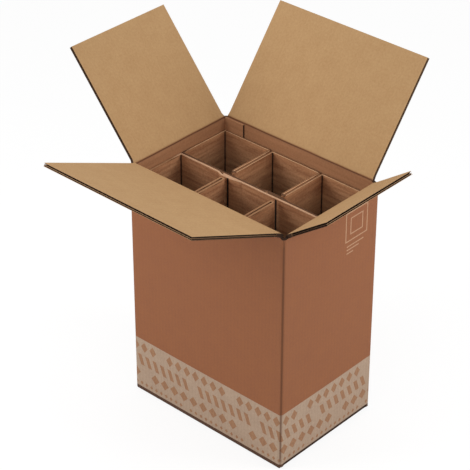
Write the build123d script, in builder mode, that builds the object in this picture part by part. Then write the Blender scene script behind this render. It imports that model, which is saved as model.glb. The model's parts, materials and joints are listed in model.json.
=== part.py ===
from build123d import *
from math import cos, radians, sin, tan
import os

# Six-bottle shipping carton with its four top flaps standing open and two folded rows of cells inside.
# Millimetres. X runs along the long side, Y along the short side, Z up.
# The origin is the centre of the underside. The front is the long wall at -Y.

os.makedirs("parts", exist_ok=True)

# Carton blank: double-wall corrugated board with upright flutes
carton_length = 285.0
carton_width = 197.0
board = 5.5
fold_radius = 3.0
inner_fold_radius = 1.0

# Top scores and flaps; the angles are measured outwards from upright
side_score_height = 380.5
layer_gap = 0.3
slot_side_room = 0.5
score_crush = 0.2
inner_mitre = 45.0
outer_mitre = 60.0
deep_flap_length = 181.5
shallow_flap_length = 76.5
long_flap_clearance = 9.5
left_flap_clearance = 1.5
right_flap_clearance = 5.5
left_flap_angle = 40.0
back_flap_angle = 37.5
front_flap_angle = 66.5
right_flap_angle = 54.5

# Bottom flaps, folded in and glued
bottom_seam_gap = 0.6
bottom_side_clearance = 1.5
corner_lift = 2.7

# Glue tab of the carton's one upright joint
tab_width = 36.0
tab_board = 2.0
tab_clearance = 0.5

# Flutes that show in the flaps' free edges
liner = 0.45
outer_flute = 1.6
outer_flute_pitch = 6.3
inner_flute_pitch = 8.0
flute_medium = 0.4
flute_land = 1.0
flute_margin = 3.0
flute_reach = 15.0

# Rows of cells: each is one strip of single-wall board, folded into a closed sleeve
strip_board = 3.0
strip_fold_radius = 1.8
row_headroom = 17.5
row_clearance = 0.4
row_gap = 0.4
pleat_gap = 2.4
pleat_tip_gap = 3.4
lap_length = 35.0
lap_glue = 0.2
lap_step_room = 1.0
lap_step_run = 8.0
front_lap_end = -18.0
back_lap_end = 60.0

# Faces and levels worked out from the sizes above
x_out = carton_length / 2
y_out = carton_width / 2
x_in = x_out - board
y_in = y_out - board
y_mid = y_out - board / 2
side_fold_level = board + layer_gap
floor_level = side_fold_level + board
wall_foot = floor_level + inner_fold_radius
back_score_height = side_score_height + layer_gap + board / 2
front_score_height = side_score_height + board + 2 * layer_gap
side_panel_half = y_in - bottom_side_clearance
bottom_flap_half = x_out - fold_radius
bottom_flap_length = y_out - bottom_seam_gap / 2
inner_slope = tan(radians(inner_mitre))
outer_slope = tan(radians(outer_mitre))
wall_shoulder = side_score_height - board * max(inner_slope, outer_slope)
long_flap_half = x_out - long_flap_clearance
long_top_half = long_flap_half + slot_side_room
side_top_half = y_in - left_flap_clearance + slot_side_room
tab_top = back_score_height - board / 2 * inner_slope - tab_clearance


def wall_profile():
    """Plan of the four walls: a tube folded round four upright scores."""
    RectangleRounded(carton_length, carton_width, fold_radius)
    RectangleRounded(2 * x_in, 2 * y_in, inner_fold_radius, mode=Mode.SUBTRACT)


def bottom_fold_profile(wall_face, level, flap_end):
    """Section of a wall's foot and its bottom flap, and the same again on the opposite side."""
    profile = Polygon(
        (wall_face, wall_foot),
        (wall_face, level),
        (flap_end, level),
        (flap_end, level + board),
        (wall_face - board, level + board),
        (wall_face - board, wall_foot),
        align=None,
    )
    fillet(profile.vertices().sort_by_distance((wall_face, level, 0))[0], fold_radius)
    mirror(about=Plane.YZ)


def corner_profile(long_wall_half, side_wall_half):
    """Plan of the four upright folds, outside the given middle stretches of the walls."""
    wall_profile()
    Rectangle(2 * long_wall_half, carton_width, mode=Mode.SUBTRACT)
    Rectangle(carton_length, 2 * side_wall_half, mode=Mode.SUBTRACT)


def wall_top_profile(inner_face, score_place, score_height):
    """Section of a wall's top: board up to its score, mitred from the score down to both faces."""
    depth = score_height - wall_shoulder
    Polygon(
        (score_place, score_height),
        (score_place - depth / inner_slope, wall_shoulder),
        (score_place + depth / outer_slope, wall_shoulder),
        align=None,
    )
    with Locations((inner_face, wall_shoulder)):
        Rectangle(board, depth, align=Align.MIN, mode=Mode.INTERSECT)


# Carton body: four walls, the glued bottom flaps and the glue tab, all one folded blank
with BuildPart() as carton_body:
    with BuildSketch(Plane.XY.offset(wall_foot)):
        wall_profile()
    extrude(amount=wall_shoulder - wall_foot)

    # Corners between the bottom flaps, a little clear of the ground
    with BuildSketch(Plane.XY.offset(corner_lift)):
        corner_profile(bottom_flap_half, side_panel_half)
    extrude(amount=wall_foot - corner_lift)

    # Outer bottom flaps, from the long walls, meeting at the middle seam
    with BuildSketch(Plane.YZ):
        bottom_fold_profile(y_out, 0, bottom_seam_gap / 2)
    extrude(amount=bottom_flap_half, both=True)

    # Inner bottom flaps, from the short walls, lying on the outer ones
    with BuildSketch(Plane.XZ):
        bottom_fold_profile(x_out, side_fold_level, x_out - bottom_flap_length)
    extrude(amount=side_panel_half, both=True)

    # Corners below the slots between the top flaps, which end level with the side scores
    with BuildSketch(Plane.XY.offset(wall_shoulder)):
        corner_profile(long_top_half, side_top_half)
    extrude(amount=side_score_height - wall_shoulder)

    # Wall tops between the slots, each mitred so that its flap can turn
    with BuildSketch(Plane.YZ):
        wall_top_profile(y_in, y_mid, back_score_height)
    extrude(amount=long_top_half, both=True)
    with BuildSketch(Plane.YZ):
        wall_top_profile(y_in, y_in, front_score_height)
        mirror(about=Plane.YZ, mode=Mode.REPLACE)
    extrude(amount=long_top_half, both=True)
    with BuildSketch(Plane.XZ):
        wall_top_profile(x_in, x_out, side_score_height)
        mirror(about=Plane.YZ)
    extrude(amount=side_top_half, both=True)

    # Glue tab on the left wall, pressed thin and stuck inside the back wall
    with BuildSketch(Plane.XY.offset(wall_foot)):
        with Locations((-x_in, y_in)):
            Rectangle(tab_width, tab_board, align=(Align.MIN, Align.MAX))
    extrude(amount=tab_top - wall_foot)

carton_body.part.label = "carton_body"


def flute_openings(low, high, pitch, span):
    """Open ends of one flute layer, as triangles above and below its medium."""
    count = 2 * int((span - 2 * flute_margin) / pitch) - 1
    places = [(index - (count - 1) / 2) * pitch / 2 for index in range(count)]
    half = (pitch - flute_land) / 2
    with Locations(*[(place, high) for place in places[0::2]]):
        Polygon((-half, 0), (half, 0), (0, low + flute_medium - high), align=None)
    with Locations(*[(place, low) for place in places[1::2]]):
        Polygon((-half, 0), (half, 0), (0, high - flute_medium - low), align=None)


def top_flap(name, score, outward, angle, length, span_start, span_end, outer_side):
    """A top flap turned outwards about its score, which lies outer_side inside the board's outer face
    and from which the board is mitred both ways."""
    up = Vector(0, 0, 1)
    free_way = outward * sin(radians(angle)) + up * cos(radians(angle))
    inner_normal = up * sin(radians(angle)) - outward * cos(radians(angle))
    along = free_way.cross(inner_normal)
    inner_side = board - outer_side
    span = span_end - span_start
    with BuildPart() as flap:
        with BuildSketch(Plane(score + along * span_start, x_dir=free_way, z_dir=along)):
            Polygon(
                (score_crush, 0),
                (score_crush + length, -length / outer_slope),
                (score_crush + length, length / inner_slope),
                align=None,
            )
            with Locations((0, -outer_side)):
                Rectangle(length, board, align=Align.MIN, mode=Mode.INTERSECT)
        extrude(amount=span)
        edge_middle = score + free_way * length + along * (span_start + span / 2)
        middle_liner = liner + outer_flute - outer_side
        with BuildSketch(Plane(edge_middle, x_dir=along, z_dir=-free_way)):
            flute_openings(liner - outer_side, middle_liner, outer_flute_pitch, span)
            flute_openings(middle_liner + liner, inner_side - liner, inner_flute_pitch, span)
        extrude(amount=flute_reach, mode=Mode.SUBTRACT)
    flap.part.label = name
    return flap.part


# The side flaps close first, then the back flap, then the front one, so each pair of scores is
# higher than the last: at the outer face of the side walls, in the middle of the back wall's board
# and at the inner face of the front wall
left_flap = top_flap(
    "left_flap",
    Vector(-x_out, 0, side_score_height),
    Vector(-1, 0, 0),
    left_flap_angle,
    deep_flap_length,
    -y_in + left_flap_clearance,
    y_in - tab_board - left_flap_clearance,
    0,
)
right_flap = top_flap(
    "right_flap",
    Vector(x_out, 0, side_score_height),
    Vector(1, 0, 0),
    right_flap_angle,
    shallow_flap_length,
    -y_in + right_flap_clearance,
    y_in - right_flap_clearance,
    0,
)
back_flap = top_flap(
    "back_flap",
    Vector(0, y_mid, back_score_height),
    Vector(0, 1, 0),
    back_flap_angle,
    deep_flap_length,
    -long_flap_half,
    long_flap_half,
    board / 2,
)
front_flap = top_flap(
    "front_flap",
    Vector(0, -y_in, front_score_height),
    Vector(0, -1, 0),
    front_flap_angle,
    deep_flap_length,
    -long_flap_half,
    long_flap_half,
    board,
)

# Room for the two rows between the front wall and the glue tab, and the cells' even division
row_depth = y_in - tab_board / 2 - row_clearance - row_gap / 2
row_half = x_in - row_clearance
cross_wall = 2 * strip_board + pleat_gap
cell_width = (2 * row_half - 2 * strip_board - 2 * cross_wall) / 3
cross_wall_place = (cell_width + cross_wall) / 2
ply_spread = (strip_board + pleat_gap) / 2


def cell_row(name, side, lap_end):
    """A folded strip: a lapped panel towards the middle, stepped where one end laps over the other,
    and pleats from the outer panel as cross walls."""
    end_line = row_half - strip_board / 2
    outer_line = row_depth - strip_board / 2
    under_lap_line = strip_board / 2
    over_lap_line = under_lap_line + strip_board + lap_glue
    tip_line = over_lap_line + strip_board + pleat_tip_gap
    lap_start = lap_end - lap_length
    path = [
        (lap_end, over_lap_line),
        (lap_start - lap_step_room, over_lap_line),
        (lap_start - lap_step_room - lap_step_run, under_lap_line),
        (-end_line, under_lap_line),
        (-end_line, outer_line),
    ]
    for place in (-cross_wall_place, cross_wall_place):
        path += [
            (place - ply_spread, outer_line),
            (place - ply_spread, tip_line),
            (place + ply_spread, tip_line),
            (place + ply_spread, outer_line),
        ]
    path += [(end_line, outer_line), (end_line, under_lap_line), (lap_start, under_lap_line)]
    middle = -tab_board / 2 + side * row_gap / 2
    with BuildPart() as row:
        with BuildSketch(Plane.XY.offset(floor_level)):
            with BuildLine():
                line = FilletPolyline(*[(x, middle + side * y) for x, y in path], radius=strip_fold_radius)
            trace(line, strip_board)
        extrude(amount=side_score_height - row_headroom - floor_level)
    row.part.label = name
    return row.part


front_cell_row = cell_row("front_cell_row", -1, front_lap_end)
back_cell_row = cell_row("back_cell_row", 1, back_lap_end)

pieces = (
    carton_body.part,
    left_flap,
    right_flap,
    back_flap,
    front_flap,
    front_cell_row,
    back_cell_row,
)
for piece in pieces:
    export_step(piece, f"parts/{piece.label}.step")
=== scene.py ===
import json
import math

import bmesh
import bpy
import numpy as np
from mathutils import Matrix, Vector


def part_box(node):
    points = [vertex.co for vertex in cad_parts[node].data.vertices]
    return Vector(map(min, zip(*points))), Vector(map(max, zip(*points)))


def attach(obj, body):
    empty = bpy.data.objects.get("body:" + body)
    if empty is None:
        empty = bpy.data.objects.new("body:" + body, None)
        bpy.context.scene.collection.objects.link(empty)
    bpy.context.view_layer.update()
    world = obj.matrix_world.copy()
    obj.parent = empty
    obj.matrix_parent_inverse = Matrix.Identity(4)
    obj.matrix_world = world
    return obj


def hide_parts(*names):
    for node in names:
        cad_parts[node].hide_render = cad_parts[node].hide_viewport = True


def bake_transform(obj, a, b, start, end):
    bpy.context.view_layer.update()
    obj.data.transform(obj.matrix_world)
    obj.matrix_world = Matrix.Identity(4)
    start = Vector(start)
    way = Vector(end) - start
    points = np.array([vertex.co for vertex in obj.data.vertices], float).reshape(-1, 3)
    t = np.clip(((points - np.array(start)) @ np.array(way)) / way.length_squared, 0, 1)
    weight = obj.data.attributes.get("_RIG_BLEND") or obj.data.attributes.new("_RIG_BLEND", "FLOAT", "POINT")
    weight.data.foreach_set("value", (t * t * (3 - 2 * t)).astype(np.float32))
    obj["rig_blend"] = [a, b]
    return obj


# Six-bottle shipping carton, open, with two folded rows of cells. Metres: X along its long side, Y along
# its short side, Z up, from the middle of its foot.

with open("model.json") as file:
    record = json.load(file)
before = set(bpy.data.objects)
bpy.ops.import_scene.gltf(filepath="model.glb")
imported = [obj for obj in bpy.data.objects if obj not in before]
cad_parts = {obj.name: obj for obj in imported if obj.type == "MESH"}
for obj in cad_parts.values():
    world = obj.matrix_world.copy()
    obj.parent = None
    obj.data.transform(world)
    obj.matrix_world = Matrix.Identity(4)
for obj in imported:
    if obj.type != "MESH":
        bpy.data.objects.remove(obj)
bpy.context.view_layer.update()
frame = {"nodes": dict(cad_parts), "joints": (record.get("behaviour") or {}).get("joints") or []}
joints = {joint["child"]: joint for joint in frame["joints"]}
MM = 0.001


# Carton walls
# Four walls folded from one blank of double-wall board, the flutes running upright. The outside is
# flooded with brown ink down to an unprinted pale band, and each upright fold keeps its pressed score.

body_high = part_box("carton_body")[1]
half_length = body_high.x
half_width = body_high.y
board = 5.5 * MM
outer_flute_pitch = 6.3 * MM
inner_flute_pitch = 8.0 * MM
fold_radius = 3.0 * MM
inner_fold_radius = 0.7 * MM
fold_steps = 16
score_depth = 0.75 * MM
score_half_width = 1.6 * MM
score_crush_and_shade = 0.8
corner_shade_width = 1.6 * MM
corner_shade = 0.7
wall_foot = 12.3 * MM
wall_end = 374.5 * MM
wall_step = 8.0 * MM
wall_bulge = 0.7 * MM
slot_floor = 380.5 * MM
slot_rises = {"front": 3.2 * MM, "back": 1.6 * MM, "left": 0.0, "right": 0.0}
corner_foot = 2.7 * MM
bottom_flap_half = half_length - fold_radius
bottom_panel_half = 91.5 * MM
girth = 4 * (half_length + half_width) - (8 - 2 * math.pi) * fold_radius

# Print on the flat blank. Each row of the band has its low and high edge, its groups round the carton,
# the places in a group, how much of a place is filled, its lean and its shift in places.
band_top = 94.5 * MM
band_rows = (
    (72 * MM, 90 * MM, 7, 8, 0.80, 0.0, 1),
    (48 * MM, 66 * MM, 8, 8, 0.50, 0.35, 3),
    (24 * MM, 42 * MM, 5, 10, 0.84, 0.0, 4),
    (11 * MM, 18 * MM, 8, 12, 0.60, 0.0, 8),
)
foot_middle = 1.6 * MM
foot_half = 6.2 * MM
right_wall_middle = 2 * half_length + half_width - (3 - math.pi / 2) * fold_radius
frame_middle = right_wall_middle + 51.36 * MM
frame_height = 340 * MM
frame_line = 0.9 * MM
frame_squares = (22.5 * MM, 12.5 * MM)
bars_start = frame_middle - 20 * MM
bar_heights = (309 * MM, 303.5 * MM, 298 * MM)
bar_lengths = (36 * MM, 26 * MM, 14 * MM)


def linear(hex_colour):
    """A colour written as sRGB hex, in the linear values that the sockets take."""
    parts = [int(hex_colour[place : place + 2], 16) / 255 for place in (1, 3, 5)]
    return [part / 12.92 if part <= 0.04045 else ((part + 0.055) / 1.055) ** 2.4 for part in parts] + [1.0]


def add_node(tree, kind, inputs=(), **settings):
    """Adds one node with its settings. Its inputs, by place or by name, are plain values, or nodes or
    their outputs to link."""
    node = tree.nodes.new(kind)
    for name, value in settings.items():
        setattr(node, name, value)
    for key, value in inputs.items() if isinstance(inputs, dict) else enumerate(inputs):
        if isinstance(value, bpy.types.Node):
            value = value.outputs[0]
        if isinstance(value, bpy.types.NodeSocket):
            tree.links.new(value, node.inputs[key])
        else:
            node.inputs[key].default_value = value
    return node


MATH = "ShaderNodeMath"
MIX = "ShaderNodeMix"
# The sockets of a mix of two colours, by place, and how far apart waves of scale 1 are.
MIX_FACTOR, MIX_FIRST, MIX_SECOND, MIX_RESULT = 0, 6, 7, 2
WAVE_PERIOD = 2 * math.pi / 20
paper_gloss = 0.25
paper_relief = 0.05 * MM

# Grain in paper: its size across and along the flutes, and its strength. Real fibres are under 1 mm
# wide, too fine to show, so the fine grain is drawn as coarse as it needs to be.
FINE_GRAIN = (2.6 * MM, 3.4 * MM, 1.0)
SOFT_CLOUD = (22 * MM, 26 * MM, 0.5)
LEVEL_SMEARS = (110 * MM, 5.0 * MM, 0.9)


def paper(
    name, tones, crushed, grain=(FINE_GRAIN,), flute_pitch=outer_flute_pitch, flute_show=0.0, roughness=0.88
):
    """Dry, matt paper. Its tones lie over each other, each between a darker and a lighter colour by the
    grain and the faint lines of the flutes, and each but the first only where its mask is. Where a
    score or a fold presses the paper, and where shade is painted into folds, grooves and narrow gaps,
    it turns to its colour for crush and painted shade."""
    material = bpy.data.materials.new(name)
    material.use_nodes = True
    tree = material.node_tree
    flat = add_node(tree, "ShaderNodeUVMap", uv_map="blank")
    lines = add_node(tree, "ShaderNodeTexWave", {"Vector": flat, "Scale": WAVE_PERIOD / flute_pitch})
    line_terms = (lines.outputs["Fac"], flute_show, 0.5 - 0.5 * flute_show)
    shade = add_node(tree, MATH, line_terms, operation="MULTIPLY_ADD")
    for across, along, strength in grain:
        spot = add_node(tree, "ShaderNodeMapping", {"Vector": flat, "Scale": (1 / across, 1 / along, 1.0)})
        cloud_values = {"Vector": spot, "Scale": 1.0, "Detail": 3.0, "Roughness": 0.6}
        cloud = add_node(tree, "ShaderNodeTexNoise", cloud_values)
        centred = add_node(tree, MATH, (cloud.outputs["Fac"], 0.5), operation="SUBTRACT")
        shade = add_node(tree, MATH, (centred, strength, shade), operation="MULTIPLY_ADD")
    place = add_node(tree, "ShaderNodeSeparateXYZ", (flat,))
    crush_and_shade_amount = add_node(tree, "ShaderNodeAttribute", attribute_name="crushed").outputs["Fac"]
    whole = None
    for mask, darker, lighter in (*tones, (crush_and_shade_amount, crushed, crushed)):
        ends = {MIX_FACTOR: shade, MIX_FIRST: linear(darker), MIX_SECOND: linear(lighter)}
        tone = add_node(tree, MIX, ends, data_type="RGBA", clamp_factor=True).outputs[MIX_RESULT]
        if whole is None:
            whole = tone
            continue
        if callable(mask):
            mask = mask(tree, place.outputs["X"], place.outputs["Y"])
        over = {MIX_FACTOR: mask, MIX_FIRST: whole, MIX_SECOND: tone}
        whole = add_node(tree, MIX, over, data_type="RGBA", clamp_factor=True).outputs[MIX_RESULT]
    bump = add_node(tree, "ShaderNodeBump", {"Strength": 1.0, "Distance": paper_relief, "Height": shade})
    shader = tree.nodes["Principled BSDF"]
    shader.inputs["Roughness"].default_value = roughness
    shader.inputs["Specular IOR Level"].default_value = paper_gloss
    tree.links.new(whole, shader.inputs["Base Color"])
    tree.links.new(bump.outputs["Normal"], shader.inputs["Normal"])
    return material


def in_frame(tree, across, height):
    """Where the right wall is printed near its top: two plain squares and three short bars."""
    side = add_node(tree, MATH, (across, frame_middle), operation="SUBTRACT")
    off_side = add_node(tree, MATH, (side,), operation="ABSOLUTE")
    level = add_node(tree, MATH, (height, frame_height), operation="SUBTRACT")
    off_level = add_node(tree, MATH, (level,), operation="ABSOLUTE")
    off_centre = add_node(tree, MATH, (off_side, off_level), operation="MAXIMUM")
    printed = 0.0
    for reach in frame_squares:
        square = add_node(tree, MATH, (off_centre, reach, frame_line), operation="COMPARE")
        printed = add_node(tree, MATH, (printed, square), operation="MAXIMUM")
    for bar_height, length in zip(bar_heights, bar_lengths):
        in_level = add_node(tree, MATH, (height, bar_height, frame_line), operation="COMPARE")
        half = length / 2
        in_length = add_node(tree, MATH, (across, bars_start + half, half), operation="COMPARE")
        bar = add_node(tree, MATH, (in_level, in_length), operation="MULTIPLY")
        printed = add_node(tree, MATH, (printed, bar), operation="MAXIMUM")
    return printed


def in_band(tree, across, height):
    """The pale band round the foot, where the flood of ink stops."""
    return add_node(tree, MATH, (height, band_top), operation="LESS_THAN")


def in_band_print(tree, across, height):
    """Where the pale band is printed: rows of diamonds and leaning blocks, in groups."""
    printed = 0.0
    for low, high, groups, places, filled, lean, shift in band_rows:
        pitch = girth / (groups * places)
        reach = filled * pitch / 2
        level = add_node(tree, MATH, (height, (low + high) / 2), operation="SUBTRACT")
        off_middle = add_node(tree, MATH, (level,), operation="ABSOLUTE")
        in_row = add_node(tree, MATH, (off_middle, (high - low) / 2), operation="LESS_THAN")
        slid = add_node(tree, MATH, (height, lean, across), operation="MULTIPLY_ADD")
        beat = add_node(tree, MATH, (slid, pitch / 2), operation="PINGPONG")
        if not lean:
            taper = 2 * reach / (high - low)
            beat = add_node(tree, MATH, (off_middle, taper, beat), operation="MULTIPLY_ADD")
        in_shape = add_node(tree, MATH, (beat, reach), operation="LESS_THAN")
        shape = add_node(tree, MATH, (in_shape, in_row), operation="MULTIPLY")
        moved = add_node(tree, MATH, (slid, shift * pitch), operation="ADD")
        off_group = add_node(tree, MATH, (moved, places * pitch / 2), operation="PINGPONG")
        in_group = add_node(tree, MATH, (off_group, (places - 1) * pitch / 2), operation="LESS_THAN")
        kept = add_node(tree, MATH, (shape, in_group), operation="MULTIPLY")
        printed = add_node(tree, MATH, (printed, kept), operation="MAXIMUM")
    return printed


def foot_painted_shade(tree, across, height):
    """The fold under each wall, painted dark as the shade where it turns under towards the floor."""
    return add_node(tree, MATH, (height, foot_middle, foot_half), operation="COMPARE")


# Kraft liner flooded with brown water ink, which takes a little more on the flute tips, so faint upright
# lines show, most of all in the pale band that it leaves bare.
outside = paper(
    "printed_kraft_liner",
    (
        (None, "#845238", "#965F3A"),
        (in_frame, "#A67C5E", "#BE9676"),
        (in_band, "#98806C", "#B69E88"),
        (in_band_print, "#845C44", "#A8805E"),
        # Painted shade along the fold under each wall.
        (foot_painted_shade, "#442C1E", "#5E4230"),
    ),
    "#5E3A26",
    (FINE_GRAIN, SOFT_CLOUD),
    outer_flute_pitch,
    0.12,
    0.72,
)
# Bare kraft liner: light brown, cloudy paper with short fibres, as the flaps show it inside.
inside = paper(
    "kraft_liner",
    ((None, "#AE865B", "#C6A275"),),
    "#7A4A30",
    (FINE_GRAIN, SOFT_CLOUD),
    inner_flute_pitch,
    0.05,
)
# The same liner inside the walls, painted darker and redder as the shade and reddish bounce light inside the
# carton, and smeared level by the cells.
lining_painted_shade = paper("rubbed_kraft_liner", ((None, "#956848", "#B68560"),), "#4E3020", (FINE_GRAIN, LEVEL_SMEARS))
# Liner edge where the knife cut across it: raw and a little darker than its face.
cut_edge = paper("cut_board_edge", ((None, "#946E4E", "#BC9670"),), "#5A3C28")
# Board edge cut along its flutes, pressed shut, and painted nearly black as the shade it stands in.
side_edge = paper("crushed_side_edge", ((None, "#2C1B11", "#462E1E"),), "#24160E")
carton_materials = (outside, inside, cut_edge, lining_painted_shade, side_edge)
OUTSIDE, INSIDE, CUT, LINING_PAINTED_SHADE, SIDE = 0, 1, 2, 3, 4


def new_board():
    """An empty mesh with the layers that every piece of board has: its place on the flat blank, and how
    far its paper turns to the colour for crush and painted shade."""
    target = bmesh.new()
    target.loops.layers.uv.new("blank")
    target.verts.layers.float.new("crushed")
    return target


def add_shell(target, grids):
    """Joins grids of points into one closed shell and adds it to the mesh. A grid is its points, their
    places on the flat blank, its material and how far its paper turns to the colour for crush and painted
    shade."""
    part = new_board()
    places = part.loops.layers.uv["blank"]
    crush_and_shade_layer = part.verts.layers.float["crushed"]
    for points, flat, material, crushed in grids:
        points = np.asarray(points)
        rows, columns = points.shape[:2]
        flat = np.broadcast_to(flat, (rows, columns, 2))
        crushed = np.broadcast_to(crushed, (rows, columns))
        verts = [part.verts.new(point) for point in points.reshape(-1, 3)]
        for vert, amount in zip(verts, crushed.reshape(-1)):
            vert[crush_and_shade_layer] = amount
        for row in range(rows - 1):
            for column in range(columns - 1):
                corners = ((row, column), (row, column + 1), (row + 1, column + 1), (row + 1, column))
                face = part.faces.new([verts[r * columns + c] for r, c in corners])
                face.material_index = material
                face.smooth = True
                for loop, corner in zip(face.loops, corners):
                    loop[places].uv = flat[corner]
    bmesh.ops.remove_doubles(part, verts=part.verts, dist=1e-6)
    bmesh.ops.recalc_face_normals(part, faces=part.faces)
    mesh = bpy.data.meshes.new("part")
    part.to_mesh(mesh)
    part.free()
    target.from_mesh(mesh)
    bpy.data.meshes.remove(mesh)


def edge_between(first, second, flat, material):
    """The cut edge that joins the same border of two faces."""
    return np.stack([first, second]), np.stack([flat, flat]), material, 0.0


def finished_piece(name, target, materials, sharp_angle=40):
    """Turns the collected shells into one object, smooth but for its real edges."""
    mesh = bpy.data.meshes.new(name)
    target.to_mesh(mesh)
    target.free()
    mesh.set_sharp_from_angle(angle=math.radians(sharp_angle))
    for material in materials:
        mesh.materials.append(material)
    piece = bpy.data.objects.new(name, mesh)
    bpy.context.scene.collection.objects.link(piece)
    return piece


def slot_ends(flap, axis):
    """Where a top flap's two side edges stand along its wall."""
    low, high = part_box(flap)
    return low[axis], high[axis]


wall_ways = {
    "front": (Vector((1, 0)), Vector((0, -1)), half_length, half_width),
    "right": (Vector((0, 1)), Vector((1, 0)), half_width, half_length),
    "back": (Vector((-1, 0)), Vector((0, 1)), half_length, half_width),
    "left": (Vector((0, -1)), Vector((-1, 0)), half_width, half_length),
}
wall_slots = {
    "front": slot_ends("front_flap", 0),
    "right": slot_ends("right_flap", 1),
    "back": tuple(-x for x in reversed(slot_ends("back_flap", 0))),
    "left": tuple(-y for y in reversed(slot_ends("left_flap", 1))),
}
bottom_cuts = {
    "front": bottom_flap_half,
    "right": bottom_panel_half,
    "back": bottom_flap_half,
    "left": bottom_panel_half,
}


def wall_stations(wall):
    """Points along one wall, outer and inner, with a column at each cut above and below."""
    along, out, reach, distance = wall_ways[wall]
    end_outer = reach - fold_radius
    end_inner = reach - board - inner_fold_radius
    cuts = [*wall_slots[wall], -bottom_cuts[wall], bottom_cuts[wall]]
    middles = [
        place
        for place in np.linspace(-end_inner, end_inner, round(2 * end_inner / wall_step) + 1)[1:-1]
        if min(abs(place - cut) for cut in cuts) > wall_step / 4
    ]
    shade_ends = (corner_shade_width - end_inner, end_inner - corner_shade_width)
    between = sorted({round(place, 7) for place in [*middles, *cuts, *shade_ends]})
    inner_places = [-end_inner, *between, end_inner]
    outer_places = [-end_outer, *between, end_outer]
    stations = []
    for outer_place, inner_place in zip(outer_places, inner_places):
        bulge = wall_bulge * math.cos(math.pi * inner_place / (2 * reach)) ** 2
        outer = along * outer_place + out * distance
        inner = along * inner_place + out * (distance - board)
        # Close to each inner corner the inner face takes painted shade.
        shade = (0.0, corner_shade if abs(inner_place) == end_inner else 0.0)
        stations.append((wall, inner_place, outer, inner, out * bulge, shade))
    return stations


def fold_stations(wall):
    """Points round the upright fold after a wall, with its pressed score in the middle."""
    along, out, reach, distance = wall_ways[wall]
    outer_centre = along * (reach - fold_radius) + out * (distance - fold_radius)
    inner_centre = along * (reach - board - inner_fold_radius) + out * (distance - board - inner_fold_radius)
    stations = []
    for step in range(1, fold_steps):
        angle = math.pi / 2 * step / fold_steps
        way = out * math.cos(angle) + along * math.sin(angle)
        off_score = (angle - math.pi / 4) * fold_radius / score_half_width
        press = math.exp(-off_score * off_score)
        outer = outer_centre + way * (fold_radius - score_depth * press)
        # The outside of the score turns towards the colour for crush and painted shade in its dent; the
        # inside of the fold takes it fully, as painted shade in the corner.
        shade = (score_crush_and_shade * press, 1.0)
        stations.append((wall, None, outer, inner_centre + way * inner_fold_radius, Vector((0, 0)), shade))
    return stations


stations = []
for wall in wall_ways:
    stations += wall_stations(wall) + fold_stations(wall)
outline = np.array([station[2] for station in stations])
steps = np.linalg.norm(np.diff(outline, axis=0, append=outline[:1]), axis=1)
distances = np.concatenate([[0.0], np.cumsum(steps)])


def wall_grid(side, places, heights, bulged, rises):
    """Points up the chosen stretch of the walls, on their outer or inner face."""
    heights = np.array(heights)
    rise = np.sin(math.pi * (heights - wall_foot) / (wall_end - wall_foot)) if bulged else 0 * heights
    points = np.zeros((len(heights), len(places), 3))
    flat = np.zeros((len(heights), len(places), 2))
    crushed = np.zeros((len(heights), len(places)))
    for column, place in enumerate(places):
        station = stations[place % len(stations)]
        spot = station[2] if side == "outer" else station[3]
        points[:, column, 0] = spot.x + station[4].x * rise
        points[:, column, 1] = spot.y + station[4].y * rise
        points[:, column, 2] = heights
        points[-1, column, 2] += rises[column]
        flat[:, column, 0] = distances[place % len(stations)] + distances[-1] * (place // len(stations))
        flat[:, column, 1] = heights
        crushed[:, column] = station[5][0 if side == "outer" else 1]
    return points, flat, crushed


def wall_shell(target, places, heights, bulged, rises=None):
    """A stretch of wall between two heights: both faces and the cut edges round them. Its top edge
    may rise along the wall."""
    rises = np.zeros(len(places)) if rises is None else rises
    outer, flat, crushed = wall_grid("outer", places, heights, bulged, rises)
    inner, _, shaded = wall_grid("inner", places, heights, bulged, rises)
    grids = [(outer, flat, OUTSIDE, crushed), (inner, flat, LINING_PAINTED_SHADE, shaded)]
    borders = [np.s_[0], np.s_[-1]]
    if places[0] % len(stations) != places[-1] % len(stations):
        borders += [np.s_[:, 0], np.s_[:, -1]]
    grids += [edge_between(outer[border], inner[border], flat[border], SIDE) for border in borders]
    add_shell(target, grids)


def slot_bottom(wall, inner_place):
    """How far a slot's bottom rises above its middle, towards the flap that starts there."""
    if inner_place is None:
        return 0.0
    reach = wall_ways[wall][2]
    to_fold = (reach - board - abs(inner_place)) / (reach - board - abs(wall_slots[wall][1]))
    return slot_rises[wall] * max(0.0, min(1.0, to_fold))


def station_at(wall, cut):
    """The station in a wall where a cut starts."""
    return next(i for i, s in enumerate(stations) if s[0] == wall and s[1] and abs(s[1] - cut) < 1e-6)


def corner_places(wall, after, cut_here, cut_after):
    """The stations from a cut in one wall, round the fold, to a cut in the next."""
    first, last = station_at(wall, cut_here), station_at(after, cut_after)
    return list(range(first, last + 1)) if last > first else list(range(first, last + len(stations) + 1))


walls = new_board()
all_places = list(range(len(stations) + 1))
wall_heights = np.linspace(wall_foot, wall_end, round((wall_end - wall_foot) / wall_step) + 1)
wall_shell(walls, all_places, wall_heights, True)
wall_order = list(wall_ways)
for wall, after in zip(wall_order, wall_order[1:] + wall_order[:1]):
    top_places = corner_places(wall, after, wall_slots[wall][1], wall_slots[after][0])
    rises = np.array([slot_bottom(*stations[place % len(stations)][:2]) for place in top_places])
    wall_shell(walls, top_places, [wall_end, slot_floor], False, rises)
    foot_places = corner_places(wall, after, bottom_cuts[wall], -bottom_cuts[after])
    wall_shell(walls, foot_places, [corner_foot, wall_foot], False)


# Bottom flaps
# The outer pair folds under from the long walls and meets at the middle seam, the inner pair from the
# short walls lies on them, and both are glued together.

inner_flap_level = 5.8 * MM
seam_half = 0.3 * MM
foot_inner_radius = 1.0 * MM
bend_steps = 8


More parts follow.
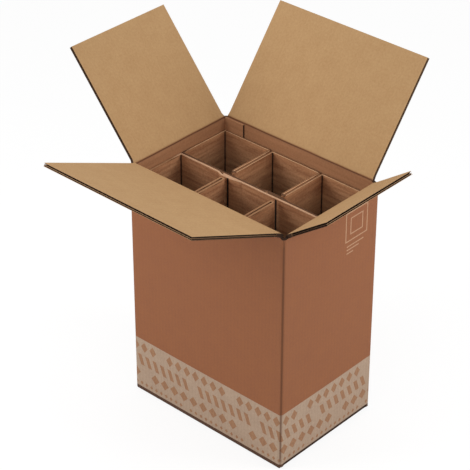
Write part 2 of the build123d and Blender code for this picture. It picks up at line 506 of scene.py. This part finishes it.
def folded_foot(target, wall, level, half_span):
    """A wall's foot, the rounded fold under it and its bottom flap."""
    along, out, _, distance = wall_ways[wall]

    def face_path(depth, radius):
        """One face of the board, down the wall, round the fold and in to the middle seam."""
        path = [(distance - depth, wall_foot)]
        for step in range(bend_steps + 1):
            angle = math.pi / 2 * step / bend_steps
            inward = distance - depth - radius * (1 - math.cos(angle))
            path.append((inward, level + depth + radius * (1 - math.sin(angle))))
        return path + [(seam_half, level + depth)]

    def sheet(path):
        ends = (-half_span, half_span)
        return np.array([[(*(along * end + out * place), height) for end in ends] for place, height in path])

    outer_path = face_path(0.0, fold_radius)
    outer, inner = sheet(outer_path), sheet(face_path(board, foot_inner_radius))
    run = np.cumsum([0.0] + [math.dist(a, b) for a, b in zip(outer_path, outer_path[1:])])
    flat = np.array([[(end, wall_foot - length) for end in (-half_span, half_span)] for length in run])
    grids = [(outer, flat, OUTSIDE, 0.0), (inner, flat, INSIDE, 0.0)]
    for border, material in ((np.s_[:, 0], SIDE), (np.s_[:, 1], SIDE), (np.s_[0], CUT), (np.s_[-1], CUT)):
        grids.append(edge_between(outer[border], inner[border], flat[border], material))
    add_shell(target, grids)


for wall in ("front", "back"):
    folded_foot(walls, wall, 0.0, bottom_flap_half)
for wall in ("left", "right"):
    folded_foot(walls, wall, inner_flap_level, bottom_panel_half)
carton_board = finished_piece("carton_board", walls, carton_materials)
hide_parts("carton_body")
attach(carton_board, "carton")


# Glue tab
# The left wall's tab, of the same board pressed thin and glued inside the back wall. It closes the
# carton's one upright joint, and its free edge is painted dark as the shade of its narrow step.

tab_width = 36.0 * MM
tab_board = 2.0 * MM
tab_top = joints["back_flap"]["pos_m"][2] - 1.2 * MM
tab_bevel = 0.7 * MM
tab_bevel_steps = 3

tab_mesh = new_board()
bmesh.ops.create_cube(tab_mesh, size=1.0)
tab_low = Vector((-half_length + board, half_width - board - tab_board, wall_foot))
tab_high = Vector((-half_length + board + tab_width, half_width - board, tab_top))
tab_place = Matrix.Translation((tab_low + tab_high) / 2) @ Matrix.Diagonal((*(tab_high - tab_low), 1.0))
bmesh.ops.transform(tab_mesh, matrix=tab_place, verts=tab_mesh.verts)
tab_edges = [
    edge
    for edge in tab_mesh.edges
    if all(vert.co.y < tab_high.y - tab_bevel for vert in edge.verts)
    and any(vert.co.x > tab_low.x + tab_bevel for vert in edge.verts)
]
bmesh.ops.bevel(
    tab_mesh, geom=tab_edges, offset=tab_bevel, segments=tab_bevel_steps, affect="EDGES", profile=0.5
)
tab_places = tab_mesh.loops.layers.uv["blank"]
for face in tab_mesh.faces:
    face.smooth = True
    face.material_index = 1 if face.calc_center_median().x > tab_high.x - tab_bevel else 0
    for loop in face.loops:
        loop[tab_places].uv = (loop.vert.co.x, loop.vert.co.z)
# The tab's free edge: pressed board, painted nearly black as the shade in the narrow step it stands in.
tab_slit = paper("tab_slit", ((None, "#24160E", "#38241A"),), "#24160E")
glue_tab = finished_piece("glue_tab", tab_mesh, (lining_painted_shade, tab_slit))
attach(glue_tab, "carton")


# Top flaps
# Each is the same double-wall board as its wall: three kraft liners with a fluted medium between each
# pair. The knife leaves the flutes open along the free edge and pinches the liners at every cut.

liner = 0.45 * MM
outer_flute = 1.6 * MM
medium_paper = 0.28 * MM
medium_gap = 0.25 * MM
pinch = 0.08
pinch_width = 1.6 * MM
edge_steps = np.array([0.0, 0.4, 0.9, 1.5, 2.4, 3.6, 5.5]) * MM
middle_inset = 9 * MM
middle_step = 20 * MM
fold_reaches = {"left_flap": 6.0 * MM, "right_flap": 6.0 * MM, "back_flap": 9.0 * MM, "front_flap": 9.5 * MM}
outer_sides = {"left_flap": 0.0, "right_flap": 0.0, "back_flap": board / 2, "front_flap": board}
steps_per_flute = 12
rows_along_flute = 12

# Fluting medium: thin, coarse brown paper, seen only deep between the liners, and painted nearly black as
# the shade there.
fluting = paper("fluting_medium", ((None, "#20140C", "#3A2618"),), "#20140C")


def corrugated_medium():
    """The node tree of one fluted medium: a sheet bent to a wave across its span."""
    tree = bpy.data.node_groups.new("corrugated_medium", "GeometryNodeTree")
    for name in ("Span", "Reach", "Flute Pitch", "Flute Height"):
        tree.interface.new_socket(name, in_out="INPUT", socket_type="NodeSocketFloat")
    tree.interface.new_socket("Paper", in_out="INPUT", socket_type="NodeSocketMaterial")
    tree.interface.new_socket("Medium", in_out="OUTPUT", socket_type="NodeSocketGeometry")
    given = add_node(tree, "NodeGroupInput").outputs
    flutes = add_node(tree, MATH, (given["Span"], given["Flute Pitch"]), operation="DIVIDE")
    columns = add_node(tree, MATH, (flutes, steps_per_flute, 1), operation="MULTIPLY_ADD")
    sheet_sizes = {
        "Size X": given["Span"],
        "Size Y": given["Reach"],
        "Vertices X": columns,
        "Vertices Y": rows_along_flute,
    }
    sheet = add_node(tree, "GeometryNodeMeshGrid", sheet_sizes)
    position = add_node(tree, "GeometryNodeInputPosition")
    place = add_node(tree, "ShaderNodeSeparateXYZ", (position,))
    turns = add_node(tree, MATH, (place.outputs["X"], given["Flute Pitch"]), operation="DIVIDE")
    angle = add_node(tree, MATH, (turns, 2 * math.pi), operation="MULTIPLY")
    wave = add_node(tree, MATH, (angle,), operation="SINE")
    half = add_node(tree, MATH, (given["Flute Height"], 0.5), operation="MULTIPLY")
    rise = add_node(tree, MATH, (wave, half), operation="MULTIPLY")
    lift = add_node(tree, "ShaderNodeCombineXYZ", {"Z": rise})
    bent = add_node(tree, "GeometryNodeSetPosition", {"Geometry": sheet, "Offset": lift})
    solid = add_node(tree, "GeometryNodeRealizeInstances", {"Geometry": bent})
    coloured = add_node(tree, "GeometryNodeSetMaterial", {"Geometry": solid, "Material": given["Paper"]})
    add_node(tree, "NodeGroupOutput", {"Medium": coloured})
    return tree


medium_tree = corrugated_medium()


def medium_sheet(span, reach, pitch, height):
    """One fluted medium as a plain mesh: its span along X, its flutes along Y."""
    carrier = bpy.data.objects.new("medium", bpy.data.meshes.new("medium"))
    bpy.context.scene.collection.objects.link(carrier)
    bend = carrier.modifiers.new("flutes", "NODES")
    bend.node_group = medium_tree
    values = {
        "Span": span,
        "Reach": reach,
        "Flute Pitch": pitch,
        "Flute Height": height - medium_paper,
        "Paper": fluting,
    }
    for item in medium_tree.interface.items_tree:
        if item.name in values:
            bend[item.identifier] = values[item.name]
    thicken = carrier.modifiers.new("paper", "SOLIDIFY")
    thicken.thickness = medium_paper
    thicken.offset = 0.0
    bpy.context.view_layer.update()
    mesh = bpy.data.meshes.new_from_object(carrier.evaluated_get(bpy.context.evaluated_depsgraph_get()))
    bpy.data.objects.remove(carrier)
    return mesh


class Flap:
    """A top flap's own directions: along its board from the score, towards its inner face, and along
    the score."""

    def __init__(self, name):
        joint = joints[name]
        self.name = name
        self.score = Vector(joint["pos_m"])
        self.axis = Vector(joint["axis"])
        self.lean = math.radians(joint["range_deg"][1] - 90)
        up = Vector((0, 0, 1))
        out = -self.axis.cross(up)
        self.wall_way = up
        self.wall_inner = -out
        self.free_way = out * math.sin(self.lean) + up * math.cos(self.lean)
        self.inner_way = up * math.sin(self.lean) - out * math.cos(self.lean)
        corners = [vert.co - self.score for vert in frame["nodes"][name].data.vertices]
        self.length = max(corner.dot(self.free_way) for corner in corners)
        self.start = min(corner.dot(self.axis) for corner in corners)
        self.end = max(corner.dot(self.axis) for corner in corners)
        self.outer_side = outer_sides[name]
        self.fold_reach = fold_reaches[name]

    def pinched(self, reach, thick, along, free_edge=True):
        """A height in the board, closer to its middle near a cut edge."""
        middle = board / 2 - self.outer_side
        edge = np.minimum(along - self.start, self.end - along)
        nearness = np.exp(-((edge / pinch_width) ** 2))
        if free_edge:
            nearness = np.maximum(nearness, np.exp(-(((self.length - reach) / pinch_width) ** 2)))
        return middle + (thick - middle) * (1 - pinch * nearness)

    def points(self, reach, thick, along):
        """Places in the flap, in the shared frame."""
        shape = np.broadcast(reach, thick, along).shape
        reach, thick, along = (np.broadcast_to(value, shape)[..., None] for value in (reach, thick, along))
        ways = [np.array(way) for way in (self.score, self.free_way, self.inner_way, self.axis)]
        return ways[0] + reach * ways[1] + thick * ways[2] + along * ways[3]

    def towards_edges(self, low, high, both):
        """Stations that crowd near a cut edge, where the liners are pinched."""
        count = max(2, round((high - low) / middle_step))
        middle = np.linspace(low + middle_inset, high - middle_inset, count)
        first = low + edge_steps if both else np.array([low])
        return np.concatenate([first, middle, np.flip(high - edge_steps)])


edge_cuts = ((np.s_[0], CUT), (np.s_[-1], CUT), (np.s_[:, 0], SIDE), (np.s_[:, -1], SIDE))


def flap_liners(flap):
    """The flap's three liners: printed outside, plain between, kraft inside."""
    target = new_board()
    reach = flap.towards_edges(flap.fold_reach, flap.length, False)[:, None]
    along = flap.towards_edges(flap.start, flap.end, True)[None, :]
    flat = np.stack(np.broadcast_arrays(along, reach + flap.score.z), axis=-1)
    middle_low = liner + outer_flute
    faces = (
        (0.0, OUTSIDE, liner, CUT),
        (middle_low, CUT, middle_low + liner, CUT),
        (board - liner, CUT, board, INSIDE),
    )
    for low, low_material, high, high_material in faces:
        sheets = []
        for level in (low, high):
            thick = flap.pinched(reach, level - flap.outer_side, along)
            sheets.append(flap.points(reach, thick, along))
        grids = [(sheets[0], flat, low_material, 0.0), (sheets[1], flat, high_material, 0.0)]
        for cut, material in edge_cuts:
            grids.append(edge_between(sheets[0][cut], sheets[1][cut], flat[cut], material))
        add_shell(target, grids)
    piece = finished_piece(f"{flap.name}_liners", target, carton_materials)
    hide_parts(flap.name)
    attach(piece, flap.name)


def flap_fluting(flap):
    """The two fluted mediums between the flap's liners."""
    middle_low = liner + outer_flute
    layers = (
        (liner, middle_low, outer_flute_pitch),
        (middle_low + liner, board - liner, inner_flute_pitch),
    )
    target = new_board()
    for low, high, pitch in layers:
        reach = flap.length - flap.fold_reach - medium_gap
        mesh = medium_sheet(flap.end - flap.start - 2 * medium_gap, reach, pitch, high - low)
        local = np.array([vert.co for vert in mesh.vertices])
        along = local[:, 0] + (flap.start + flap.end) / 2
        out = local[:, 1] + flap.fold_reach + reach / 2
        thick = flap.pinched(out, local[:, 2] + (low + high) / 2 - flap.outer_side, along)
        mesh.vertices.foreach_set("co", flap.points(out, thick, along).reshape(-1))
        target.from_mesh(mesh)
        bpy.data.meshes.remove(mesh)
    places = target.loops.layers.uv["blank"]
    for face in target.faces:
        face.smooth = True
        for loop in face.loops:
            offset = loop.vert.co - flap.score
            loop[places].uv = (offset.dot(flap.axis), offset.dot(flap.free_way))
    piece = finished_piece(f"{flap.name}_fluting", target, (fluting,))
    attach(piece, flap.name)


# Top scores
# Between a wall and its flap the board is crushed along a line, so that it folds there like a hinge.
# The liner shows a groove inside, and stretches or wrinkles as the flap turns.

groove_depth = 0.5 * MM
groove_half_width = 1.5 * MM
outer_dent = 0.45 * MM
outer_crush_and_shade = 0.5
crease_round = 1.2 * MM
crease_wander = 0.18 * MM
crease_waves = (11 * MM, 37 * MM)
crease_steps = np.array([-3.0, -2.0, -1.4, -1.0, -0.6, -0.3, 0.0, 0.3, 0.6, 1.0, 1.4, 2.0, 3.0]) * MM
side_steps = np.array([0.0, 0.5, 1.2, 2.2]) * MM
side_inset = 4 * MM
fold_step = 5.0 * MM
plain_rows = 6
base_spreads = {"left": 3.2 * MM, "right": 2.6 * MM, "back": 1.0 * MM, "front": 3.2 * MM}
spread_start = 70 * MM
spread_run = 20 * MM
slot_lap = 0.3 * MM


def flap_fold(flap):
    """The crushed strip of board at the score, which bends from the wall into the flap. Its faces meet
    in a crease, and its ends spread towards the corner at the foot of the slot."""
    wall_reach = flap.score.z - wall_end
    columns = round((flap.end - flap.start) / fold_step)
    inner_places = np.linspace(flap.start + side_inset, flap.end - side_inset, columns)
    along = np.concatenate([flap.start + side_steps, inner_places, flap.end - np.flip(side_steps)])[None, :]
    wander = crease_wander * np.sin(along / crease_waves[0]) * np.sin(along / crease_waves[1] + 1.0)
    ways = (flap.wall_way, flap.wall_inner, flap.free_way, flap.inner_way, flap.axis)
    wall_way, inward_way, free_way, inner_way, along_way = (np.array(way) for way in ways)
    middle_way = (inward_way + inner_way) / np.linalg.norm(inward_way + inner_way)
    wall = flap.name.split("_")[0]
    slot_top = slot_floor + slot_rises[wall] - slot_lap - flap.score.z
    far_out = np.clip((np.abs(along) - spread_start) / spread_run, 0, 1) * np.sign(along)

    def sheet(thick, dent):
        """One face of the strip: up the wall's plane, round the crease and along the flap's plane."""
        crease = thick * math.tan(flap.lean / 2)
        first, last = -wall_reach - crease, flap.fold_reach + crease
        lower = np.linspace(first, crease_steps[0], plain_rows)[:-1]
        upper = np.linspace(crease_steps[-1], last, plain_rows)[1:]
        run = np.concatenate([lower, crease_steps, upper])[:, None]
        board_run = (run - first) / (last - first) * (wall_reach + flap.fold_reach) - wall_reach
        on_flap = np.clip(run + crease_round, 0, None) ** 2 / (4 * crease_round)
        on_flap = np.where(run > crease_round, run, on_flap)
        press = np.exp(-(((run - wander) / groove_half_width) ** 2))
        pinched = flap.pinched(board_run, thick + 0 * along, along, free_edge=False) - thick
        raised = pinched * np.clip(run / last, 0, 1) ** 2
        spread = np.clip(1 - board_run / flap.fold_reach, 0, 1) ** 2 * (board_run > slot_top)
        points = np.array(flap.score) + thick * inward_way + crease * wall_way
        points = points + (run - on_flap)[..., None] * wall_way + on_flap[..., None] * free_way
        points = points + (dent * press)[..., None] * middle_way + raised[..., None] * inner_way
        points = points + (along + base_spreads[wall] * spread * far_out)[..., None] * along_way
        flat = np.stack(np.broadcast_arrays(along, board_run + flap.score.z), axis=-1)
        return points, flat, press

    outer, flat, outer_press = sheet(-flap.outer_side, outer_dent)
    inner, _, inner_press = sheet(board - flap.outer_side, -groove_depth)
    target = new_board()
    crease_row = plain_rows - 1 + len(crease_steps) // 2
    # Along the crease both faces turn towards the colour for crush and painted shade, darkest in the groove.
    grids = [
        (outer, flat, OUTSIDE, outer_crush_and_shade * outer_press),
        (inner[: crease_row + 1], flat[: crease_row + 1], LINING_PAINTED_SHADE, inner_press[: crease_row + 1]),
        (inner[crease_row:], flat[crease_row:], INSIDE, inner_press[crease_row:]),
    ]
    for cut, material in edge_cuts:
        grids.append(edge_between(outer[cut], inner[cut], flat[cut], material))
    add_shell(target, grids)
    piece = finished_piece(f"{flap.name}_score", target, carton_materials)
    bend_reach = min(wall_reach, flap.fold_reach) - flap.outer_side * math.tan(flap.lean / 2)
    start = flap.score - flap.wall_way * bend_reach
    end = flap.score + flap.free_way * bend_reach
    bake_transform(piece, "carton", flap.name, start=start, end=end)


for name in ("left_flap", "right_flap", "back_flap", "front_flap"):
    flap = Flap(name)
    flap_liners(flap)
    flap_fluting(flap)
    flap_fold(flap)


# Rows of cells
# Each row is one strip of single-wall board, flutes lying level, folded into a sleeve with pleats for
# its cross walls and a glued lap. The thin liners sink between the flutes, so its faces are ribbed.

strip_board = 3.0 * MM
strip_fold_radius = 1.8 * MM
pleat_gap = 2.4 * MM
pleat_tip_gap = 3.4 * MM
lap_length = 35.0 * MM
lap_glue = 0.2 * MM
lap_step_room = 1.0 * MM
lap_step_run = 8.0 * MM
lap_thin_run = 12.0 * MM
lap_thinned = 0.95
lap_ends = {"front_cell_row": -18.0 * MM, "back_cell_row": 60.0 * MM}
strip_pitch = 6.5 * MM
rib_height = 0.16 * MM
rows_per_rib = 4
strip_step = 16.0 * MM
strip_bend_steps = 5
lid_round = 0.9 * MM
lid_steps = 4
top_sway = 0.35 * MM
sway_waves = (23 * MM, 61 * MM)
middle_reach = 12 * MM
sharp_fold = math.radians(60)
fold_shade = 2.0 * MM
tip_shadow = 2.2 * MM
tip_offsets = (0.8 * MM, -5.0 * MM)
# The painted shade on both faces near a pleat's tip, at places given in widths of its shadow.
NO_SHADE = (0.0, 0.0)
tip_shades = ((-1.1, NO_SHADE), (-0.5, (1.0, 1.0)), (0.5, (1.0, 1.0)), (1.1, NO_SHADE))
row_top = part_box("front_cell_row")[1].z
redder_depths = (70 * MM, 4 * MM)
LEVEL_STREAKS = (6.5 * MM, 80 * MM, 1.9)


def near_top(tree, height, run):
    """How far the strip turns to its redder tone, fully just under its top."""
    low, high = (row_top - depth for depth in redder_depths)
    return add_node(tree, "ShaderNodeMapRange", {"Value": height, "From Min": low, "From Max": high})


# The cells' thin brown liner. The flutes behind it show as level streaks, and the liner turns redder towards
# its top and duller below.
strip_face = paper(
    "divider_liner",
    ((None, "#8A6448", "#C09A74"), (near_top, "#8E5C3E", "#C8946A")),
    # The nearly black colour of painted shade, inside the strip's folds and in the narrow gaps at the
    # pleats' tips.
    "#1A1008",
    (FINE_GRAIN, LEVEL_STREAKS),
)
# The strip's top edge: pale torn liner edges, made lighter still as a painted highlight, and the duller
# medium between them.
strip_edge = paper("divider_cut_edge", ((None, "#CC9E74", "#F0C8A0"),), "#7A543A")
strip_core = paper("divider_medium", ((None, "#7E583C", "#9A7050"),), "#5A3E2A")
# The front row's top edge: one smooth pale line, painted light as the highlight along its top.
front_edge_highlight = paper("rubbed_top_edge", ((None, "#B88E6C", "#D8B090"),), "#A07654")
row_materials = {
    "front_cell_row": (strip_face, front_edge_highlight, front_edge_highlight),
    "back_cell_row": (strip_face, strip_edge, strip_core),
}
FACE, EDGE, CORE = 0, 1, 2


def row_path(name):
    """The strip's centre line in plan, as the corners of its folds, and where its pleats' tips end."""
    low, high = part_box(name)
    outer_y, inner_y = (low.y, high.y) if abs(low.y) > abs(high.y) else (high.y, low.y)
    side = 1 if outer_y > inner_y else -1
    end_line = high.x - strip_board / 2
    outer_line = abs(outer_y - inner_y) - strip_board / 2
    under_lap = strip_board / 2
    over_lap = under_lap + strip_board + lap_glue
    tip_line = over_lap + strip_board + pleat_tip_gap
    cross_wall = 2 * strip_board + pleat_gap
    cell_width = (2 * high.x - 2 * strip_board - 2 * cross_wall) / 3
    cross_places = (-(cell_width + cross_wall) / 2, (cell_width + cross_wall) / 2)
    spread = (strip_board + pleat_gap) / 2
    lap_end = lap_ends[name]
    lap_start = lap_end - lap_length
    path = [
        (lap_end, over_lap),
        (lap_start - lap_step_room, over_lap),
        (lap_start - lap_step_room - lap_step_run, under_lap),
        (-end_line, under_lap),
        (-end_line, outer_line),
    ]
    for place in cross_places:
        path += [(place - spread, outer_line), (place - spread, tip_line)]
        path += [(place + spread, tip_line), (place + spread, outer_line)]
    path += [(end_line, outer_line), (end_line, under_lap), (lap_start, under_lap)]
    tips = [place + spread + strip_board / 2 + off for place, off in zip(cross_places, tip_offsets)]
    return [Vector((x, inner_y + side * y)) for x, y in path], tips


def with_tip_shades(run, last, place, tips):
    """Adds stations of painted shade where a pleat's tip leaves only a narrow gap to this run of the strip.
    """
    for tip in tips:
        spots = [(tip + off * tip_shadow, amount) for off, amount in tip_shades]
        reached = [
            (abs(x - last.x), amount) for x, amount in spots if (x - last.x) * (x - place.x) < 0
        ]
        run = [spot for spot in run if all(abs(spot[0] - reach) > tip_shadow for reach, _ in reached)]
        run += reached
    return run


def folded_stations(path, tips, radius):
    """Stations along a path of straight runs and round folds: place, sideways direction, and how much
    painted shade the left and right faces take, inside a fold and in the narrow gap at a pleat's tip."""
    stations = []
    for index, corner in enumerate(path):
        if index in (0, len(path) - 1):
            after = path[1] if index == 0 else corner
            before = path[0] if index == 0 else path[-2]
            way = (after - before).normalized()
            stations.append((corner, Vector((-way.y, way.x)), NO_SHADE))
            continue
        way_in = (corner - path[index - 1]).normalized()
        way_out = (path[index + 1] - corner).normalized()
        turn = math.copysign(1, way_in.cross(way_out))
        angle = math.acos(max(-1.0, min(1.0, way_in.dot(way_out))))
        inward = Vector((-way_in.y, way_in.x)) * turn
        centre = corner - way_in * radius * math.tan(angle / 2) + inward * radius
        for step in range(strip_bend_steps + 1):
            way = Matrix.Rotation(turn * angle * step / strip_bend_steps, 2) @ way_in
            normal = Vector((-way.y, way.x))
            shade = (max(turn, 0), max(-turn, 0)) if angle > sharp_fold else NO_SHADE
            stations.append((centre - normal * radius * turn, normal, shade))
    filled = [stations[0]]
    for place, normal, shade in stations[1:]:
        last = filled[-1][0]
        gap = (place - last).length
        if gap > 3 * fold_shade:
            reaches = np.linspace(fold_shade, gap - fold_shade, max(2, math.ceil(gap / strip_step)))
            run = [(reach, NO_SHADE) for reach in reaches]
            if abs(place.y) < middle_reach and abs(place.y - last.y) < MM:
                run = with_tip_shades(run, last, place, tips)
            for reach, amount in sorted(run):
                filled.append((last.lerp(place, reach / gap), normal, amount))
        filled.append((place, normal, shade))
    return filled


def row_section(low, high):
    """The strip's section as sideways places and heights: ribbed left face, rounded top, right face."""
    count = round((high - low - lid_round) / strip_pitch * rows_per_rib)
    heights = np.linspace(low, high - lid_round, count + 1)
    rib = rib_height * (0.5 - 0.5 * np.cos(2 * math.pi * (heights - low) / strip_pitch))
    left = list(zip(strip_board / 2 - rib, heights))
    right = list(zip(-strip_board / 2 + rib_height - rib, heights))
    angles = [math.pi * step / (2 * lid_steps + 2) for step in range(1, lid_steps + 1)]
    top = [
        (strip_board / 2 - lid_round * (1 - math.cos(angle)), high - lid_round * (1 - math.sin(angle)))
        for angle in angles
    ]
    return left, top + [(-side, height) for side, height in reversed(top)], right[::-1]


def cell_row(name):
    """One row: its section, ribbed faces with a soft top edge, carried along the folded path."""
    low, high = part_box(name)
    along = folded_stations(*row_path(name), strip_fold_radius)
    left, top, right = row_section(low.z, high.z)
    section = left + top + right
    left_last = len(left) - 1
    core_first = len(left) + 2
    core_last = len(section) - 1 - core_first
    right_first = len(section) - 1 - left_last
    run = np.cumsum([0.0] + [(b[0] - a[0]).length for a, b in zip(along, along[1:])])
    sway = top_sway * np.sin(run / sway_waves[0]) * np.sin(run / sway_waves[1] + 0.7)
    shades = np.array([station[2] for station in along])
    visible = 1 if high.y < -low.y else -1
    in_middle = np.array([abs(station[0].y) < middle_reach for station in along])
    # Painted shade on the top edge: along the pleats of the front row, and along the middle panel of the
    # back row, behind the front row.
    edge_painted_shade = 1.0 * (~in_middle if visible > 0 else in_middle)
    thinned = lap_thinned * strip_board * np.clip(1 - run / lap_thin_run, 0, 1)
    points = np.zeros((len(section), len(along), 3))
    flat = np.zeros((len(section), len(along), 2))
    for row, (side, height) in enumerate(section):
        swayed = max(0.0, (height - low.z) / (high.z - low.z)) ** 6
        from_glued = (side * visible + strip_board / 2) / strip_board
        for column, (place, normal, _) in enumerate(along):
            thinner = side - visible * (thinned[column] * from_glued + (lap_glue if thinned[column] else 0))
            points[row, column] = (*(place + normal * thinner), height - abs(sway[column]) * swayed)
        flat[row, :, 0] = height
        flat[row, :, 1] = run
    bands = (
        (0, left_last, FACE, shades[:, 0]),
        (left_last, core_first, EDGE, edge_painted_shade),
        (core_first, core_last, CORE, edge_painted_shade),
        (core_last, right_first, EDGE, edge_painted_shade),
        (right_first, len(section) - 1, FACE, shades[:, 1]),
    )
    grids = [
        (points[first : last + 1], flat[first : last + 1], material, crushed)
        for first, last, material, crushed in bands
    ]
    grids.append((points[[0, -1]], flat[[0, -1]], EDGE, 0.0))
    half = len(section) // 2
    for column in (0, -1):
        ends = np.stack([points[:half, column], points[::-1][:half, column]])
        spots = np.stack([flat[:half, column], flat[::-1][:half, column]])
        grids.append((ends, spots, FACE, 0.0))
    target = new_board()
    add_shell(target, grids)
    piece = finished_piece(f"{name}_board", target, row_materials[name])
    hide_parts(name)
    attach(piece, "carton")


for name in ("front_cell_row", "back_cell_row"):
    cell_row(name)


# Studio
# White floor and surround, soft light from all sides, and a large soft lamp at the front left and at the
# back right.

camera_place = Vector((1.4967, -1.6740, 1.7121))
camera_azimuth = math.radians(42.435)
camera_elevation = math.radians(32.482)
camera_roll = math.radians(0.081)
sensor = 36.0
focal_pixels = 1905.7
image_pixels = 470.0
surround_light = 0.7
floor_half = 6.0
floor_paint = (0.9, 0.9, 0.9, 1)
floor_glow = 1.05
floor_glow_share = 0.8
lamp_size = 0.6
lamp_aim = Vector((0.0, 0.0, 0.25))
lamps = (("front_lamp", Vector((-0.6, -0.8, 0.8)), 5.3), ("back_lamp", Vector((0.9, 0.5, 0.8)), 5.2))

camera_data = bpy.data.cameras.new("camera")
camera_data.sensor_width = sensor
camera_data.lens = focal_pixels / image_pixels * sensor
camera_data.clip_end = 50.0
camera = bpy.data.objects.new("camera", camera_data)
bpy.context.scene.collection.objects.link(camera)
sight = -Vector(
    (
        math.sin(camera_azimuth) * math.cos(camera_elevation),
        -math.cos(camera_azimuth) * math.cos(camera_elevation),
        math.sin(camera_elevation),
    )
)
roll = Matrix.Rotation(camera_roll, 3, "Z").to_quaternion()
camera.location = camera_place
camera.rotation_mode = "QUATERNION"
camera.rotation_quaternion = sight.to_track_quat("-Z", "Y") @ roll
bpy.context.scene.camera = camera
bpy.context.scene.view_settings.view_transform = "Standard"

world = bpy.data.worlds.new("surround")
world.use_nodes = True
bpy.context.scene.world = world
sky = world.node_tree
sky.nodes.clear()
ray = add_node(sky, "ShaderNodeLightPath").outputs
glossy = add_node(sky, MATH, (ray["Is Glossy Ray"], ray["Is Transmission Ray"]), operation="MAXIMUM")
seen = add_node(sky, MATH, (ray["Is Camera Ray"], glossy), operation="MAXIMUM")
strength = add_node(sky, "ShaderNodeMapRange", {"Value": seen, "To Min": surround_light, "To Max": 1.0})
background = add_node(sky, "ShaderNodeBackground", {"Color": (1, 1, 1, 1), "Strength": strength})
add_node(sky, "ShaderNodeOutputWorld", {"Surface": background})

floor_mesh = bmesh.new()
bmesh.ops.create_grid(floor_mesh, x_segments=1, y_segments=1, size=floor_half)
floor_data = bpy.data.meshes.new("floor")
floor_mesh.to_mesh(floor_data)
floor_mesh.free()
floor = bpy.data.objects.new("floor", floor_data)
bpy.context.scene.collection.objects.link(floor)
floor_material = bpy.data.materials.new("white_sweep")
floor_material.use_nodes = True
sweep = floor_material.node_tree
sweep.nodes.clear()
floor_ray = add_node(sweep, "ShaderNodeLightPath").outputs
floor_seen = add_node(sweep, MATH, (floor_ray["Is Camera Ray"], floor_glow_share), operation="MULTIPLY")
floor_lit = add_node(sweep, "ShaderNodeBsdfDiffuse", {"Color": floor_paint})
floor_white = add_node(sweep, "ShaderNodeEmission", {"Color": (1, 1, 1, 1), "Strength": floor_glow})
floor_mix = add_node(sweep, "ShaderNodeMixShader", (floor_seen, floor_lit, floor_white))
add_node(sweep, "ShaderNodeOutputMaterial", {"Surface": floor_mix})
floor_data.materials.append(floor_material)

for name, place, power in lamps:
    lamp_data = bpy.data.lights.new(name, "AREA")
    lamp_data.shape = "DISK"
    lamp_data.size = lamp_size
    lamp_data.energy = power
    lamp = bpy.data.objects.new(name, lamp_data)
    lamp.location = place
    lamp.rotation_mode = "QUATERNION"
    lamp.rotation_quaternion = (lamp_aim - place).to_track_quat("-Z", "Y")
    lamp.visible_camera = False
    bpy.context.scene.collection.objects.link(lamp)
